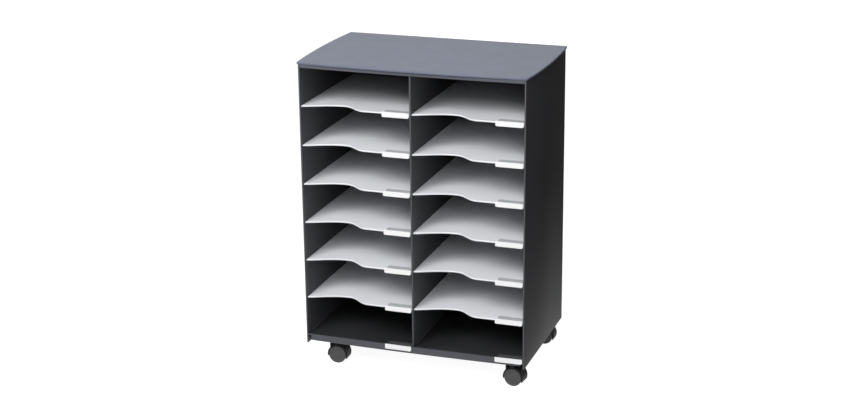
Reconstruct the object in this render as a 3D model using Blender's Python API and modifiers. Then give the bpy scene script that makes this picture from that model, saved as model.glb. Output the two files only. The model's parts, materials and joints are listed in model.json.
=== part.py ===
"""Mobile pigeonhole cabinet: two bays of seven A4 compartments on four twin-wheel casters.

Metres, +Z up. The front faces -Y and +X is to the right as seen from the front. The origin is on the
floor, below the middle of the whole object.
"""

import math

import bmesh
import bpy
from mathutils import Matrix, Vector

# Fits
FIT = 0.0003  # gap between pieces that seat on each other

# Carcass, seen from the front
ROWS = 7
CARCASS_WIDTH = 0.510
CARCASS_DEPTH = 0.320
SIDE_THICKNESS = 0.0035
DIVIDER_THICKNESS = 0.0035
BACK_THICKNESS = 0.0025
BACK_SETBACK = 0.005  # rear edges of the side panels to the back panel
BACK_GROOVE_DEPTH = 0.0012

# Clear heights of the rows, and of what lies below and above them
BOTTOM_ROW_HEIGHT = 0.0893
ROW_HEIGHT = 0.08845
TOP_ROW_HEIGHT = 0.0845
SKIRT_RISE = 0.0071  # lower edges of the side panels to the lower edge of the skirts
SKIRT_HEIGHT = 0.0144
TOP_RAIL_HEIGHT = 0.0074

# Runners and ledges moulded on the side panels and the divider
RUNNER_WIDTH = 0.0025
RUNNER_THICKNESS = 0.002
RUNNER_SETBACK = 0.014  # front of the carcass to the front end of a runner
LEDGE_SETBACK = 0.022  # the same for the ledges that stand on the base trays

# Lid
LID_THICKNESS = 0.0042
LID_SIDE_OVERHANG = 0.0035  # at the corners
LID_SIDE_BOW = 0.0075
LID_FRONT_OVERHANG = 0.0005  # at the corners
LID_FRONT_BOW = 0.0095
LID_CORNER_RADIUS = 0.004
LID_EDGE_ROUND = 0.0015
LID_PEG_RADIUS = 0.004
LID_PEG_LENGTH = 0.006
LID_PEG_INSET = 0.030  # side panels and front or back of the top panel to a peg's axis

# Top panel: a shallow tray, upside down, whose front rail is bowed
TOP_PLATE_THICKNESS = 0.0025
TOP_RAIL_THICKNESS = 0.003
TOP_RAIL_BOW = 0.0045
TOP_RIB_WIDTH = 0.012  # over the divider
DIVIDER_GROOVE_DEPTH = 0.002

# Shelves
SHELF_SETBACK = 0.0005  # front of the carcass to the straight part of a shelf's front edge
SHELF_THICKNESS = 0.0018
SHELF_RIM_HEIGHT = 0.0032
SHELF_RIM_WIDTH = 0.0022
RECESS_DEPTH = 0.0295  # of the finger recess
RECESS_LEFT_DEPTH = 0.003  # its depth at the shelf's left end
RECESS_RISE = 0.088  # left end to where the recess is at its deepest
RECESS_FLAT = 0.0035
RECESS_FALL = 0.053
RECESS_FULLNESS = 1.25

# Base trays, which close the carcass below and carry the casters
TRAY_THICKNESS = 0.0025
TRAY_LIP = 0.0004  # the floor's front edge stands this far proud of the skirt
SKIRT_THICKNESS = SHELF_RIM_WIDTH - TRAY_LIP  # so that one holder fits trays and shelves
SKIRT_BOW = 0.0048  # of the trays' front edge, across the whole cabinet
SKIRT_CORNER_RADIUS = 0.011
SKIRT_SIDE_GAP = 0.001  # skirt to the edge of the tray's floor
TRAY_RIB_HEIGHT = 0.008
TRAY_RIB_THICKNESS = 0.0018
BOSS_WALL = 0.003
BOSS_RISE = 0.0018  # lower edge of the skirt to the boss

# Label holders, clipped on a shelf's front edge
HOLDER_LENGTH = 0.0625
HOLDER_END_GAP = 0.0003
HOLDER_WALL = 0.001
HOLDER_FLANGE_DEPTH = 0.019
HOLDER_FLANGE_INSET = 0.004  # holder's left end to its flange
HOLDER_DROP = 0.0105  # shelf's surface down to the holder's lower edge
HOLDER_STAND = 0.0027  # shelf's surface up to the top of the label pocket
HOLDER_SLOT = 0.0007
HOLDER_CHAMFER = 0.003
HOOK_CATCH = 0.0008

# Casters
CASTER_SIDE_INSET = 0.0467  # outside of the side panel to the stem's axis
CASTER_END_INSET = 0.0348  # front or back edge of the side panel to the stem's axis
WHEEL_DIAMETER = 0.040
WHEEL_WIDTH = 0.012
WHEEL_WALL = 0.0025
WHEEL_HUB_RADIUS = 0.0055
WHEEL_EDGE_CHAMFER = 0.0012
WHEEL_FACE_DISH = 0.0006
CASTER_TRAIL = 0.0176  # stem's axis to the axle
WEB_THICKNESS = 0.0064
WEB_RADIUS = 0.009
WHEEL_SIDE_GAP = 0.00045
HOOD_CLEARANCE = 0.0013
HOOD_WALL = 0.0022
HOOD_SETBACK = 0.0014  # outer face of a wheel to the hood's edge
HOOD_LEAD_DROP = 0.0035  # the hood's lower edge below the axle, on the stem's side
HOOD_TRAIL_DROP = 0.0078  # the same on the far side
PANEL_OVER_HOOD = 0.006  # hood's top to the lower edges of the side panels
COLLAR_RADIUS = 0.005
STEM_RADIUS = 0.003
STEM_FLOOR = 0.0015  # housing left below the stem
STEM_NECK = 0.0006
SOCKET_WALL = 0.0019
SOCKET_FLANGE_RADIUS = 0.0068
SOCKET_FLANGE_THICKNESS = 0.0012
AXLE_RADIUS = 0.0025
# How far each caster is turned from trailing straight to +X, in degrees
SWIVEL_TURNS = {"front_left": 1.8, "front_right": -6.6, "rear_left": -4.0, "rear_right": -0.5}

ROUND_STEPS = 24  # facets of a full circle; a multiple of four, so that a wheel stands on a corner

# Sizes that follow from the ones above
HOOK_LENGTH = HOLDER_LENGTH - SKIRT_CORNER_RADIUS  # the hook stays clear of the skirt's corner
WHEEL_RADIUS = WHEEL_DIAMETER / 2
HOOD_INNER_RADIUS = WHEEL_RADIUS + HOOD_CLEARANCE
HOOD_RADIUS = HOOD_INNER_RADIUS + HOOD_WALL
CASTER_HALF_WIDTH = WEB_THICKNESS / 2 + WHEEL_SIDE_GAP + WHEEL_WIDTH
SIDE_BOTTOM = WHEEL_RADIUS + HOOD_RADIUS + PANEL_OVER_HOOD
SKIRT_BOTTOM = SIDE_BOTTOM + SKIRT_RISE
TRAY_TOP = SKIRT_BOTTOM + SKIRT_HEIGHT
RAIL_BOTTOM = TRAY_TOP + BOTTOM_ROW_HEIGHT + (ROWS - 2) * ROW_HEIGHT + TOP_ROW_HEIGHT
CARCASS_TOP = RAIL_BOTTOM + TOP_RAIL_HEIGHT
LID_BOTTOM = CARCASS_TOP + FIT
LID_FRONT_REACH = LID_FRONT_OVERHANG + LID_FRONT_BOW
FRONT = (LID_FRONT_REACH - CARCASS_DEPTH) / 2  # Y of the carcass's front edges
BACK = FRONT + CARCASS_DEPTH
BACK_PANEL_FRONT = BACK - BACK_SETBACK - BACK_THICKNESS
INNER_BACK = BACK_PANEL_FRONT - FIT  # where shelves, trays and the top panel end
SIDE_INNER = CARCASS_WIDTH / 2 - SIDE_THICKNESS
BAY_WIDTH = SIDE_INNER - DIVIDER_THICKNESS / 2
BAYS = {"left": -SIDE_INNER, "right": DIVIDER_THICKNESS / 2}  # X of each bay's left wall
TURN_ABOUT_Y = Matrix.Rotation(math.pi / 2, 4, "X")  # stands a piece that was drawn lying flat


def shelf_top(row):
    """Height of the shelf below compartment row, counted from the top; the last one is the tray."""
    if row == ROWS:
        return TRAY_TOP
    return RAIL_BOTTOM - TOP_ROW_HEIGHT - (row - 1) * ROW_HEIGHT


def tray_front(x):
    """Y of the base trays' front edge, which is bowed as the top rail is."""
    return FRONT + SHELF_SETBACK - bow(x / CARCASS_WIDTH + 0.5, SKIRT_BOW)


def clear_scene():
    for item in list(bpy.data.objects):
        bpy.data.objects.remove(item, do_unlink=True)


def new_collection(name):
    collection = bpy.data.collections.new(name)
    bpy.context.scene.collection.children.link(collection)
    return collection


def new_material(name, colour, roughness, metallic=0.0, alpha=1.0):
    material = bpy.data.materials.new(name)
    material.use_nodes = True
    shader = material.node_tree.nodes["Principled BSDF"]
    shader.inputs["Base Color"].default_value = (*colour, 1.0)
    shader.inputs["Roughness"].default_value = roughness
    shader.inputs["Metallic"].default_value = metallic
    shader.inputs["Alpha"].default_value = alpha
    material.diffuse_color = (*colour, alpha)
    return material


def add_object(name, data, collection, location=(0, 0, 0)):
    item = bpy.data.objects.new(name, data)
    item.location = location
    collection.objects.link(item)
    return item


def add_helper(name, data, location=(0, 0, 0)):
    """A cutter, or a shape to be joined to a part: it isn't a part itself."""
    item = add_object(name, data, HELPERS, location)
    item.hide_render = True
    item.display_type = "WIRE"
    return item


def mesh_from(name, fill):
    """A mesh that the function fill makes in a bmesh."""
    shape = bmesh.new()
    fill(shape)
    bmesh.ops.recalc_face_normals(shape, faces=shape.faces)
    mesh = bpy.data.meshes.new(name)
    shape.to_mesh(mesh)
    shape.free()
    return mesh


def box_mesh(name, *spans):
    """One mesh of boxes, each given by its lowest and its highest corner."""

    def fill(shape):
        for low, high in spans:
            low, high = Vector(low), Vector(high)
            place = Matrix.Translation((low + high) / 2) @ Matrix.Diagonal((*(high - low), 1))
            bmesh.ops.create_cube(shape, size=1, matrix=place)

    return mesh_from(name, fill)


def cylinder_mesh(name, *spans, turn=None):
    """One mesh of upright cylinders, each given by its radius, lower centre and height."""

    def fill(shape):
        for radius, foot, height in spans:
            place = Matrix.Translation(Vector(foot) + Vector((0, 0, height / 2)))
            bmesh.ops.create_cone(
                shape,
                cap_ends=True,
                segments=ROUND_STEPS,
                radius1=radius,
                radius2=radius,
                depth=height,
                matrix=place,
            )
        if turn is not None:
            bmesh.ops.transform(shape, matrix=turn, verts=shape.verts)

    return mesh_from(name, fill)


def slab_mesh(name, outline, low, high, turn=None):
    """An outline in X and Y, drawn as a flat curve and extruded from height low to height high."""
    curve = bpy.data.curves.new(name, "CURVE")
    curve.dimensions = "2D"
    curve.fill_mode = "BOTH"
    curve.extrude = (high - low) / 2
    spline = curve.splines.new("POLY")
    spline.points.add(len(outline) - 1)
    for point, (x, y) in zip(spline.points, outline):
        point.co = (x, y, 0, 1)
    spline.use_cyclic_u = True
    drawn = add_helper(name, curve, (0, 0, (low + high) / 2))
    mesh = evaluated_mesh(drawn, name)
    bpy.data.objects.remove(drawn)
    bpy.data.curves.remove(curve)
    if turn is not None:
        mesh.transform(turn)
    return mesh


def evaluated_mesh(item, name):
    """The mesh of an object with its modifiers applied, in world space, with its doubles merged."""
    graph = bpy.context.evaluated_depsgraph_get()
    graph.update()
    mesh = bpy.data.meshes.new_from_object(item.evaluated_get(graph))
    mesh.transform(item.matrix_world)
    shape = bmesh.new()
    shape.from_mesh(mesh)
    bmesh.ops.remove_doubles(shape, verts=shape.verts, dist=0.000001)
    bmesh.ops.recalc_face_normals(shape, faces=shape.faces)
    shape.to_mesh(mesh)
    shape.free()
    mesh.name = name
    return mesh


def turned_mesh(name, profile):
    """A solid of revolution about Z, from (radius, height) points, down its outer side first."""
    outline = bpy.data.meshes.new(name + "_profile")
    points = [(radius, 0, height) for radius, height in profile]
    edges = [(i, (i + 1) % len(points)) for i in range(len(points))]
    on_axis = [i for i, (radius, _) in enumerate(profile) if radius == 0]
    if on_axis:
        edges = [edge for edge in edges if set(edge) != {on_axis[0], on_axis[-1]}]
    outline.from_pydata(points, edges, [])
    drawn = add_helper(name, outline)
    screw = drawn.modifiers.new("turn", "SCREW")
    screw.steps = ROUND_STEPS
    screw.render_steps = ROUND_STEPS
    screw.use_merge_vertices = True
    screw.merge_threshold = 0.00001
    mesh = evaluated_mesh(drawn, name)
    bpy.data.objects.remove(drawn)
    return mesh


def boolean(item, helper, operation):
    step = item.modifiers.new(helper.name, "BOOLEAN")
    step.operation = operation
    step.solver = "EXACT"
    step.object = helper


def join(item, mesh):
    boolean(item, add_helper(mesh.name, mesh), "UNION")


def cut(item, mesh):
    boolean(item, add_helper(mesh.name, mesh), "DIFFERENCE")


def smooth_rounds(mesh):
    mesh.shade_smooth()
    mesh.set_sharp_from_angle(angle=math.radians(35))


def add_part(name, mesh, material, location=(0, 0, 0), parent=None, turn=0.0):
    if not mesh.materials:
        mesh.materials.append(material)
    item = add_object(name, mesh, PARTS, location)
    item.rotation_euler.z = turn
    item.parent = parent
    return item


def bow(share, rise):
    """Height of a shallow arc over its chord, for a share of the chord's length from 0 to 1."""
    return rise * 4 * share * (1 - share)


def rounded_corner(before, corner, after, radius, steps):
    """Points of an arc that takes the place of a corner between two straight sides."""
    before, corner, after = Vector(before), Vector(corner), Vector(after)
    to_before = (before - corner).normalized()
    to_after = (after - corner).normalized()
    half = to_before.angle(to_after) / 2
    reach = radius / math.tan(half)
    centre = corner + (to_before + to_after).normalized() * (radius / math.sin(half))
    start = corner + to_before * reach - centre
    sweep = start.angle_signed(corner + to_after * reach - centre)
    points = []
    for step in range(steps + 1):
        spoke = start.copy()
        spoke.rotate(Matrix.Rotation(-sweep * step / steps, 2))
        points.append(tuple(centre + spoke))
    return points


def round_corners(corners, steps=4):
    """An outline from (x, y, radius) corners; a radius of 0 leaves the corner sharp."""
    points = []
    for i, (x, y, radius) in enumerate(corners):
        if radius == 0:
            points.append((x, y))
            continue
        before = corners[i - 1][:2]
        after = corners[(i + 1) % len(corners)][:2]
        points += rounded_corner(before, (x, y), after, radius, steps)
    return points


def lid_outline():
    """Bowed at the front and at both sides, straight at the back, with its corners rounded."""
    half = CARCASS_WIDTH / 2 + LID_SIDE_OVERHANG
    front = FRONT - LID_FRONT_OVERHANG
    steps = 12
    corners = [(-half, front, LID_CORNER_RADIUS)]
    for step in range(1, steps):
        share = step / steps
        corners.append((-half + 2 * half * share, front - bow(share, LID_FRONT_BOW), 0))
    corners.append((half, front, LID_CORNER_RADIUS))
    right_side = []
    for step in range(1, steps):
        share = step / steps
        right_side.append((half + bow(share, LID_SIDE_BOW), front + (BACK - front) * share, 0))
    corners += right_side
    corners.append((half, BACK, LID_CORNER_RADIUS))
    corners.append((-half, BACK, LID_CORNER_RADIUS))
    corners += [(-x, y, 0) for x, y, _ in reversed(right_side)]
    return round_corners(corners)


def lid_peg_places():
    """X and Y of the four pegs under the lid."""
    x = SIDE_INNER - LID_PEG_INSET
    ends = (FRONT + LID_PEG_INSET, INNER_BACK - LID_PEG_INSET)
    return [(side * x, y) for side in (-1, 1) for y in ends]


def make_lid():
    top = LID_BOTTOM + LID_THICKNESS
    lid = add_part("lid", slab_mesh("lid", lid_outline(), LID_BOTTOM, top), LID_GREY)
    edge = lid.modifiers.new("rounded edge", "BEVEL")
    edge.width = LID_EDGE_ROUND
    edge.segments = 2
    edge.limit_method = "ANGLE"
    edge.angle_limit = math.radians(60)
    overlap = LID_THICKNESS / 2
    foot = LID_BOTTOM - LID_PEG_LENGTH
    pegs = [(LID_PEG_RADIUS, (x, y, foot), LID_PEG_LENGTH + overlap) for x, y in lid_peg_places()]
    join(lid, cylinder_mesh("lid_pegs", *pegs))


def top_panel_outline(inset):
    """The top panel's plan, or its inside when inset by a wall; the front edge is bowed."""
    half = SIDE_INNER - FIT - inset
    front = FRONT + inset
    steps = 12
    points = []
    for step in range(steps + 1):
        share = step / steps
        points.append((-half + 2 * half * share, front - bow(share, TOP_RAIL_BOW)))
    return points + [(half, INNER_BACK - inset), (-half, INNER_BACK - inset)]


def make_top_panel():
    solid = slab_mesh("top_panel", top_panel_outline(0), RAIL_BOTTOM, CARCASS_TOP)
    panel = add_part("top_panel", solid, ANTHRACITE)
    plate_bottom = CARCASS_TOP - TOP_PLATE_THICKNESS
    below = RAIL_BOTTOM - TOP_RAIL_HEIGHT
    hollow = slab_mesh("top_panel_hollow", top_panel_outline(TOP_RAIL_THICKNESS), below, plate_bottom)
    cut(panel, hollow)
    overlap = TOP_RAIL_THICKNESS / 2
    rib = box_mesh(
        "top_panel_rib",
        (
            (-TOP_RIB_WIDTH / 2, FRONT + overlap, RAIL_BOTTOM),
            (TOP_RIB_WIDTH / 2, INNER_BACK - overlap, CARCASS_TOP - TOP_PLATE_THICKNESS / 2),
        ),
    )
    join(panel, rib)
    groove_half = DIVIDER_THICKNESS / 2 + FIT
    groove = box_mesh(
        "divider_groove",
        (
            (-groove_half, FRONT + TOP_RAIL_THICKNESS, below),
            (groove_half, BACK, RAIL_BOTTOM + DIVIDER_GROOVE_DEPTH),
        ),
    )
    cut(panel, groove)
    holes = [(LID_PEG_RADIUS + FIT, (x, y, below), 3 * TOP_RAIL_HEIGHT) for x, y in lid_peg_places()]
    cut(panel, cylinder_mesh("peg_holes", *holes))


def runner_spans(wall_x, direction):
    """Boxes of the runners on one face of a panel; direction is +1 where they stand out to +X."""
    overlap = SIDE_THICKNESS / 2
    near, far = sorted((wall_x - direction * overlap, wall_x + direction * RUNNER_WIDTH))
    tops = [shelf_top(row) - SHELF_THICKNESS - FIT for row in range(1, ROWS)]
    tops.append(RAIL_BOTTOM - FIT)
    starts = [(FRONT + RUNNER_SETBACK, top) for top in tops]
    starts.append((FRONT + LEDGE_SETBACK, TRAY_TOP + FIT + RUNNER_THICKNESS))
    return [((near, y, top - RUNNER_THICKNESS), (far, INNER_BACK, top)) for y, top in starts]


def make_side_panel(name, side):
    """side is -1 for the left panel and +1 for the right one."""
    inner = side * SIDE_INNER
    outer = side * CARCASS_WIDTH / 2
    low_x, high_x = sorted((inner, outer))
    panel_span = ((low_x, FRONT, SIDE_BOTTOM), (high_x, BACK, CARCASS_TOP))
    panel = add_part(name, box_mesh(name, panel_span), ANTHRACITE)
    join(panel, box_mesh(name + "_runners", *runner_spans(inner, -side)))
    groove_bottom = inner + side * (BACK_GROOVE_DEPTH + FIT)
    groove_x = sorted((groove_bottom, inner - side * 2 * RUNNER_WIDTH))
    groove_span = (
        (groove_x[0], BACK_PANEL_FRONT - FIT, SIDE_BOTTOM - SKIRT_RISE),
        (groove_x[1], BACK_PANEL_FRONT + BACK_THICKNESS + FIT, CARCASS_TOP + SKIRT_RISE),
    )
    cut(panel, box_mesh(name + "_groove", groove_span))


def make_divider():
    half = DIVIDER_THICKNESS / 2
    top = RAIL_BOTTOM + DIVIDER_GROOVE_DEPTH - FIT
    body = ((-half, FRONT + TOP_RAIL_THICKNESS + FIT, SKIRT_BOTTOM), (half, INNER_BACK, top))
    divider = add_part("divider", box_mesh("divider", body), ANTHRACITE)
    nose = ((-half, FRONT, SKIRT_BOTTOM), (half, INNER_BACK - TOP_RIB_WIDTH, RAIL_BOTTOM - FIT))
    join(divider, box_mesh("divider_front", nose))
    join(divider, box_mesh("divider_runners_right", *runner_spans(half, 1)))
    join(divider, box_mesh("divider_runners_left", *runner_spans(-half, -1)))


def make_back_panel():
    half = SIDE_INNER + BACK_GROOVE_DEPTH
    low = (-half, BACK_PANEL_FRONT, SKIRT_BOTTOM)
    high = (half, BACK_PANEL_FRONT + BACK_THICKNESS, CARCASS_TOP)
    add_part("back_panel", box_mesh("back_panel", (low, high)), ANTHRACITE)


def recess_depth(x):
    """How far a shelf's front edge lies behind its straight part, x from the bay's left wall."""
    fall_start = RECESS_RISE + RECESS_FLAT
    if x <= RECESS_RISE:
        share = math.sin(math.pi / 2 * x / RECESS_RISE) ** RECESS_FULLNESS
        return RECESS_LEFT_DEPTH + (RECESS_DEPTH - RECESS_LEFT_DEPTH) * share
    if x <= fall_start:
        return RECESS_DEPTH
    if x < fall_start + RECESS_FALL:
        return RECESS_DEPTH * (1 + math.cos(math.pi * (x - fall_start) / RECESS_FALL)) / 2
    return 0.0


def shelf_edge():
    """Points of a shelf's front edge from left to right, y from the front of the carcass."""
    rise_steps = 12
    fall_steps = 12
    fall_start = RECESS_RISE + RECESS_FLAT
    stations = [FIT + (RECESS_RISE - FIT) * i / rise_steps for i in range(rise_steps + 1)]
    stations += [fall_start + RECESS_FALL * i / fall_steps for i in range(fall_steps + 1)]
    stations.append(BAY_WIDTH - FIT)
    return [(x, SHELF_SETBACK + recess_depth(x)) for x in stations]


def shelf_rim_edge():
    """The front edge moved back, square to itself, by the width of the rim."""
    small = 0.0001
    points = []
    for x, y in shelf_edge():
        slope = (recess_depth(x + small) - recess_depth(x)) / small
        length = math.hypot(slope, 1)
        points.append((x - slope / length * SHELF_RIM_WIDTH, y + SHELF_RIM_WIDTH / length))
    first, last = points[0], points[-1]
    return [(-RUNNER_SETBACK, first[1]), *points[1:], (BAY_WIDTH + RUNNER_SETBACK, last[1])]


def make_shelves():
    """All shelves share one mesh: a plate with a deeper rim along its wavy front edge."""
    length = INNER_BACK - FRONT
    plan = shelf_edge() + [(BAY_WIDTH - FIT, length), (FIT, length)]
    solid = slab_mesh("shelf_blank", plan, -SHELF_RIM_HEIGHT, 0)
    blank = add_helper("shelf_blank", solid)
    behind_rim = shelf_rim_edge() + [
        (BAY_WIDTH + RUNNER_SETBACK, length + RUNNER_SETBACK),
        (-RUNNER_SETBACK, length + RUNNER_SETBACK),
    ]
    cut(blank, slab_mesh("shelf_underside", behind_rim, -3 * SHELF_RIM_HEIGHT, -SHELF_THICKNESS))
    mesh = evaluated_mesh(blank, "shelf")
    smooth_rounds(mesh)
    for bay, wall in BAYS.items():
        for row in range(1, ROWS):
            add_part(f"shelf_{bay}_{row}", mesh, LIGHT_GREY, (wall, FRONT, shelf_top(row)))


def holder_outline():
    """Section of a label holder in Y and Z, from the shelf's front edge and its surface."""
    wall = HOLDER_WALL
    seat = -FIT  # the inner wall's rear face, in front of the shelf's edge
    inner = seat - wall
    slot = inner - HOLDER_SLOT
    face = slot - wall
    top = FIT + wall
    hook_top = -SHELF_RIM_HEIGHT - FIT
    hook_bottom = hook_top - wall
    catch = SHELF_RIM_WIDTH + FIT
    return [
        (face, HOLDER_STAND),
        (face, wall - HOLDER_DROP),
        (face + wall, -HOLDER_DROP),
        (seat, -HOLDER_DROP),
        (seat, hook_bottom),
        (catch + wall, hook_bottom),
        (catch + wall, hook_top + HOOK_CATCH),
        (catch, hook_top + HOOK_CATCH),
        (catch, hook_top),
        (seat, hook_top),
        (seat, FIT),
        (HOLDER_FLANGE_DEPTH, FIT),
        (HOLDER_FLANGE_DEPTH, top),
        (inner, top),
        (inner, wall - HOLDER_DROP + FIT),
        (slot, wall - HOLDER_DROP + FIT),
        (slot, HOLDER_STAND),
    ]


def holder_place(bay, row):
    """Place of a holder's left end and its turn about Z; on a tray it follows the bowed edge."""
    half = HOLDER_LENGTH / 2
    middle = BAYS[bay] + BAY_WIDTH - HOLDER_END_GAP - half
    if row < ROWS:
        return Vector((middle - half, FRONT + SHELF_SETBACK, shelf_top(row))), 0.0
    rise = tray_front(middle + half) - tray_front(middle - half)
    turn = math.atan2(rise, HOLDER_LENGTH)
    centre = Vector((middle, tray_front(middle), shelf_top(row)))
    return centre - half * Vector((math.cos(turn), math.sin(turn), 0)), turn


def make_label_holders():
    """All holders share one mesh, drawn along X from the holder's left end."""
    lay_along_x = Matrix(((0, 0, 1, 0), (1, 0, 0, 0), (0, 1, 0, 0), (0, 0, 0, 1)))
    solid = slab_mesh("holder_blank", holder_outline(), 0, HOLDER_LENGTH, lay_along_x)
    blank = add_helper("holder_blank", solid)
    corner = Matrix.Translation((HOLDER_LENGTH, 0, -HOLDER_DROP)) @ Matrix.Rotation(math.pi / 4, 4, "Y")
    half = HOLDER_CHAMFER / math.sqrt(2)
    wedge = box_mesh("holder_corner", ((-half, -HOLDER_LENGTH, -half), (half, HOLDER_LENGTH, half)))
    wedge.transform(corner)
    cut(blank, wedge)
    past_hook = (
        (HOOK_LENGTH, -FIT, -2 * HOLDER_DROP),
        (2 * HOLDER_LENGTH, HOLDER_FLANGE_DEPTH, -SHELF_RIM_HEIGHT / 2),
    )
    cut(blank, box_mesh("holder_hook_end", past_hook))
    beside_flange = (
        (-HOLDER_LENGTH, 0, -SHELF_RIM_HEIGHT / 2),
        (HOLDER_FLANGE_INSET, 2 * HOLDER_FLANGE_DEPTH, 2 * HOLDER_STAND),
    )
    cut(blank, box_mesh("holder_flange_end", beside_flange))
    mesh = evaluated_mesh(blank, "label_holder")
    for bay in BAYS:
        for row in range(1, ROWS + 1):
            place, turn = holder_place(bay, row)
            add_part(f"label_holder_{bay}_{row}", mesh, CLEAR, place, turn=turn)


def stem_places():
    """Name of each caster with the X and Y of its stem."""
    x = CARCASS_WIDTH / 2 - CASTER_SIDE_INSET
    ends = {"front": FRONT + CASTER_END_INSET, "rear": BACK - CASTER_END_INSET}
    sides = {"left": -x, "right": x}
    return {f"{end}_{side}": (sides[side], ends[end]) for end in ends for side in sides}


def tray_outline(bay, gap, lip, radius, to_middle=True):
    """Plan of a tray's floor or skirt: square to the divider, rounded at the outer front corner.

    Its front is bowed, and with to_middle it passes in front of the divider to the middle.
    """
    side = -1 if bay == "left" else 1
    outer = side * (SIDE_INNER - FIT - gap)
    inner = side * (DIVIDER_THICKNESS / 2 + FIT + gap)
    end = side * FIT / 2 if to_middle else inner
    back = INNER_BACK - gap
    steps = 8
    corners = [(outer, tray_front(outer) + lip, radius)]
    for step in range(1, steps + 1):
        x = outer + (end - outer) * step / steps
        corners.append((x, tray_front(x) + lip, 0))
    if to_middle:
        corners += [(end, FRONT - FIT, 0), (inner, FRONT - FIT, 0)]
    corners += [(inner, back, 0), (outer, back, 0)]
    return round_corners(corners, steps=6)


def make_tray(bay):
    """A shallow tray, upside down: floor, skirt, ribs, and a boss for each of its two casters."""
    name = f"base_tray_{bay}"
    wall = BAYS[bay]
    floor_bottom = TRAY_TOP - TRAY_THICKNESS
    inside_floor = TRAY_TOP - TRAY_THICKNESS / 2
    floor = slab_mesh(name, tray_outline(bay, 0, 0, 0), floor_bottom, TRAY_TOP)
    tray = add_part(name, floor, ANTHRACITE)
    skirt_plan = tray_outline(bay, SKIRT_SIDE_GAP, TRAY_LIP, SKIRT_CORNER_RADIUS)
    join(tray, slab_mesh(name + "_skirt", skirt_plan, SKIRT_BOTTOM, inside_floor))
    hollow_plan = tray_outline(
        bay,
        SKIRT_SIDE_GAP + SKIRT_THICKNESS,
        TRAY_LIP + SKIRT_THICKNESS,
        SKIRT_CORNER_RADIUS - SKIRT_THICKNESS,
        to_middle=False,
    )
    below = SKIRT_BOTTOM - SKIRT_HEIGHT
    cut(tray, slab_mesh(name + "_hollow", hollow_plan, below, floor_bottom))

    places = [place for key, place in stem_places().items() if key.endswith(bay)]
    rib_bottom = floor_bottom - TRAY_RIB_HEIGHT
    half_rib = TRAY_RIB_THICKNESS / 2
    left = wall + FIT + SKIRT_SIDE_GAP + SKIRT_THICKNESS / 2
    right = wall + BAY_WIDTH - FIT - SKIRT_SIDE_GAP - SKIRT_THICKNESS / 2
    cross_ribs = [((left, y - half_rib, rib_bottom), (right, y + half_rib, inside_floor)) for _, y in places]
    join(tray, box_mesh(name + "_cross_ribs", *cross_ribs))
    middle = wall + BAY_WIDTH / 2
    long_rib = (
        (middle - half_rib, tray_front(middle) + TRAY_LIP + SKIRT_THICKNESS / 2, rib_bottom),
        (middle + half_rib, INNER_BACK - SKIRT_SIDE_GAP - SKIRT_THICKNESS / 2, inside_floor - FIT),
    )
    join(tray, box_mesh(name + "_long_rib", long_rib))

    socket_radius = STEM_RADIUS + FIT + SOCKET_WALL
    bore_radius = socket_radius + FIT
    boss_bottom = SKIRT_BOTTOM + BOSS_RISE
    bosses = [(bore_radius + BOSS_WALL, (x, y, boss_bottom), inside_floor - boss_bottom) for x, y in places]
    join(tray, cylinder_mesh(name + "_bosses", *bosses))
    bores = [(bore_radius, (x, y, below), floor_bottom - STEM_FLOOR - below) for x, y in places]
    cut(tray, cylinder_mesh(name + "_bores", *bores))

    place, turn = holder_place(bay, ROWS)
    slot_top = -SHELF_RIM_HEIGHT
    hook_slot = (
        (-FIT, -SKIRT_THICKNESS, slot_top - HOLDER_WALL - 2 * FIT),
        (HOOK_LENGTH + FIT, 2 * SHELF_RIM_WIDTH, slot_top),
    )
    slot = box_mesh(name + "_hook_slot", hook_slot)
    slot.transform(Matrix.Translation(place) @ Matrix.Rotation(turn, 4, "Z"))
    cut(tray, slot)


def make_socket_mesh():
    """Sleeve in a tray's boss, with a flange below it; about its own axis, from the skirt's edge."""
    bore = STEM_RADIUS + FIT
    radius = bore + SOCKET_WALL
    seat = BOSS_RISE - FIT
    top = SKIRT_HEIGHT - TRAY_THICKNESS - STEM_FLOOR - FIT
    bottom = seat - SOCKET_FLANGE_THICKNESS
    profile = [(radius, top), (radius, seat), (SOCKET_FLANGE_RADIUS, seat)]
    profile += [(SOCKET_FLANGE_RADIUS, bottom), (bore, bottom), (bore, top)]
    mesh = turned_mesh("socket", profile)
    smooth_rounds(mesh)
    return mesh


def collar_top():
    """Top of the housing's collar, just below the socket's flange."""
    return SKIRT_BOTTOM + BOSS_RISE - FIT - SOCKET_FLANGE_THICKNESS - FIT


def stem_bottom():
    """Foot of the stem's bore, which stays clear of the wheel beside it."""
    bore = STEM_RADIUS + FIT
    beside = CASTER_TRAIL - bore
    wheel_top = math.sqrt(HOOD_INNER_RADIUS**2 - beside**2)
    return WHEEL_RADIUS + wheel_top + STEM_FLOOR


def make_stem_mesh():
    """Steel pin pressed into the housing and turning in the socket, with a neck for its clip."""
    foot = stem_bottom() + FIT
    head = SKIRT_BOTTOM + SKIRT_HEIGHT - TRAY_THICKNESS - STEM_FLOOR - 2 * FIT
    neck_top = head - 2 * STEM_NECK
    neck_bottom = neck_top - 2 * STEM_NECK
    neck_radius = STEM_RADIUS - STEM_NECK
    profile = [(0, head), (neck_radius, head), (STEM_RADIUS, head - STEM_NECK), (STEM_RADIUS, neck_top)]
    profile += [(neck_radius, neck_top), (neck_radius, neck_bottom), (STEM_RADIUS, neck_bottom)]
    profile += [(STEM_RADIUS, foot), (0, foot)]
    mesh = turned_mesh("stem", profile)
    smooth_rounds(mesh)
    return mesh


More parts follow.
